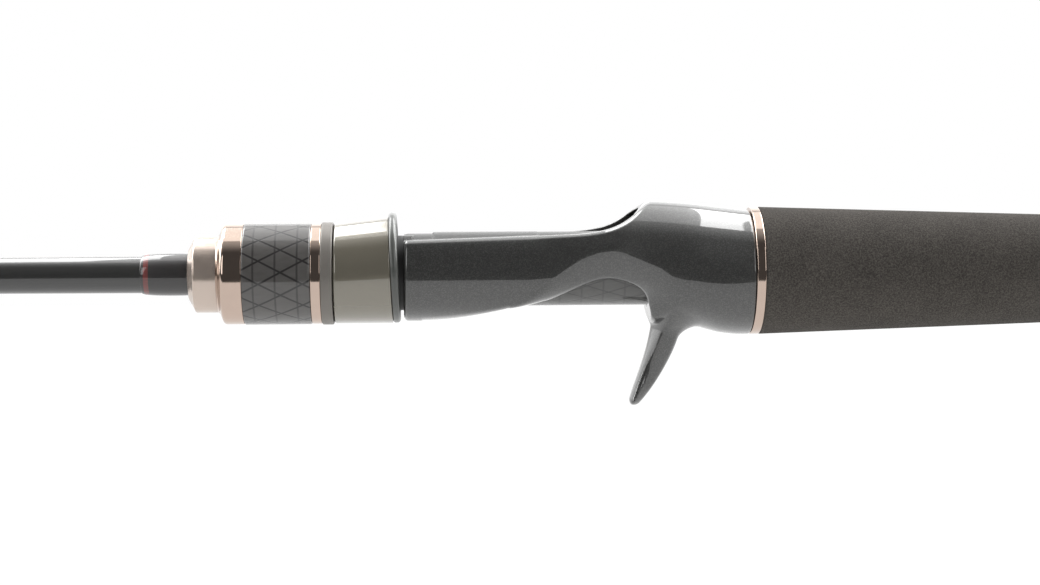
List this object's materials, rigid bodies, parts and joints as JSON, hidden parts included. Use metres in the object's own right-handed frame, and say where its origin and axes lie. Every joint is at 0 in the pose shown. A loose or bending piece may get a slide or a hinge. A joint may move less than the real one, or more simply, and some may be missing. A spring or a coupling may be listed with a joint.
{
  "type": "casting rod",
  "caption": "Two-piece casting fishing rod with a trigger reel seat, a screw-down front hood and lock nut, ringed line guides and a split foam grip; no reel.",
  "frame": {"origin": "middle of the reel bed, on its crown, where the reel foot sits; the rod's own axis runs 8.5 mm below it", "axes": "+X along the rod towards the butt, -X towards the tip, +Z out of the reel bed on the reel side, the trigger towards -Z"},
  "size_m": [1.3711, 0.0276, 0.0446],
  "materials": {
    "carbon_blank": "clear-coated black carbon blank",
    "thread": "dark thread under clear lacquer",
    "trim_thread": "dark red trim band under lacquer",
    "carbon_weave": "clear-coated carbon braid with fine diagonal and hoop lines",
    "rose_metal": "polished pinkish-brown anodised aluminium",
    "taupe_matte": "satin taupe grey",
    "gunmetal": "mirror-bright warm gunmetal",
    "rim_grey": "satin dark metallic grey",
    "seat_grey": "clear-coated dark grey with fine metallic flake",
    "nylon_black": "moulded black nylon",
    "arbor_foam": "rigid grey foam",
    "eva": "matte charcoal EVA foam with a fine grain",
    "butt_rubber": "matte black rubber",
    "guide_metal": "dark smoked steel",
    "ceramic": "polished dark ceramic"
  },
  "bodies": {
    "handle": {"butt_blank": "carbon_blank", "front_wrap": "thread", "front_trim_band": "trim_thread", "seat_tube": "carbon_weave", "thread_barrel": "nylon_black", "front_arbor": "arbor_foam", "rear_arbor": "arbor_foam", "seat_body": "seat_grey", "seat_ring": "rose_metal", "rear_grip": "eva", "grip_ring": "rose_metal", "butt_grip_ring": "rose_metal", "butt_grip": "eva", "butt_ring": "rose_metal", "butt_cap": "butt_rubber", "guide_7_frame": "guide_metal", "guide_7_ring": "ceramic", "guide_7_wrap": "thread"},
    "hood": {"hood_shell": "gunmetal", "hood_rim": "rim_grey"},
    "lock_nut": {"nut_front_ring": "rose_metal", "nut_core": "nylon_black", "nut_sleeve": "carbon_weave", "nut_rear_ring": "rose_metal", "thrust_washer": "taupe_matte"},
    "tip_section": {"tip_blank": "carbon_blank", "ferrule_wrap": "thread", "ferrule_band": "rose_metal", "tip_top": "guide_metal", "tip_top_ring": "ceramic", "tip_wrap": "thread", "guide_1_frame": "guide_metal", "guide_1_ring": "ceramic", "guide_1_wrap": "thread", "guide_2_frame": "guide_metal", "guide_2_ring": "ceramic", "guide_2_wrap": "thread", "guide_3_frame": "guide_metal", "guide_3_ring": "ceramic", "guide_3_wrap": "thread", "guide_4_frame": "guide_metal", "guide_4_ring": "ceramic", "guide_4_wrap": "thread", "guide_5_frame": "guide_metal", "guide_5_ring": "ceramic", "guide_5_wrap": "thread", "guide_6_frame": "guide_metal", "guide_6_ring": "ceramic", "guide_6_wrap": "thread"}
  },
  "joints": [
    {"name": "hood_slide", "type": "slide", "parent": "handle", "child": "hood", "axis": [-1, 0, 0], "range_m": [0, 0.011]},
    {"name": "nut_spin", "type": "hinge", "parent": "hood", "child": "lock_nut", "pos_m": [-0.045, 0, -0.0085], "axis": [-1, 0, 0], "range_deg": [0, 2640]},
    {"name": "tip_pull", "type": "slide", "parent": "handle", "child": "tip_section", "axis": [-1, 0, 0], "range_m": [0, 0.056]}
  ],
  "couplings": [
    {"joint": "hood_slide", "follows": "nut_spin", "m_per_rad": 0.00023873}
  ]
}
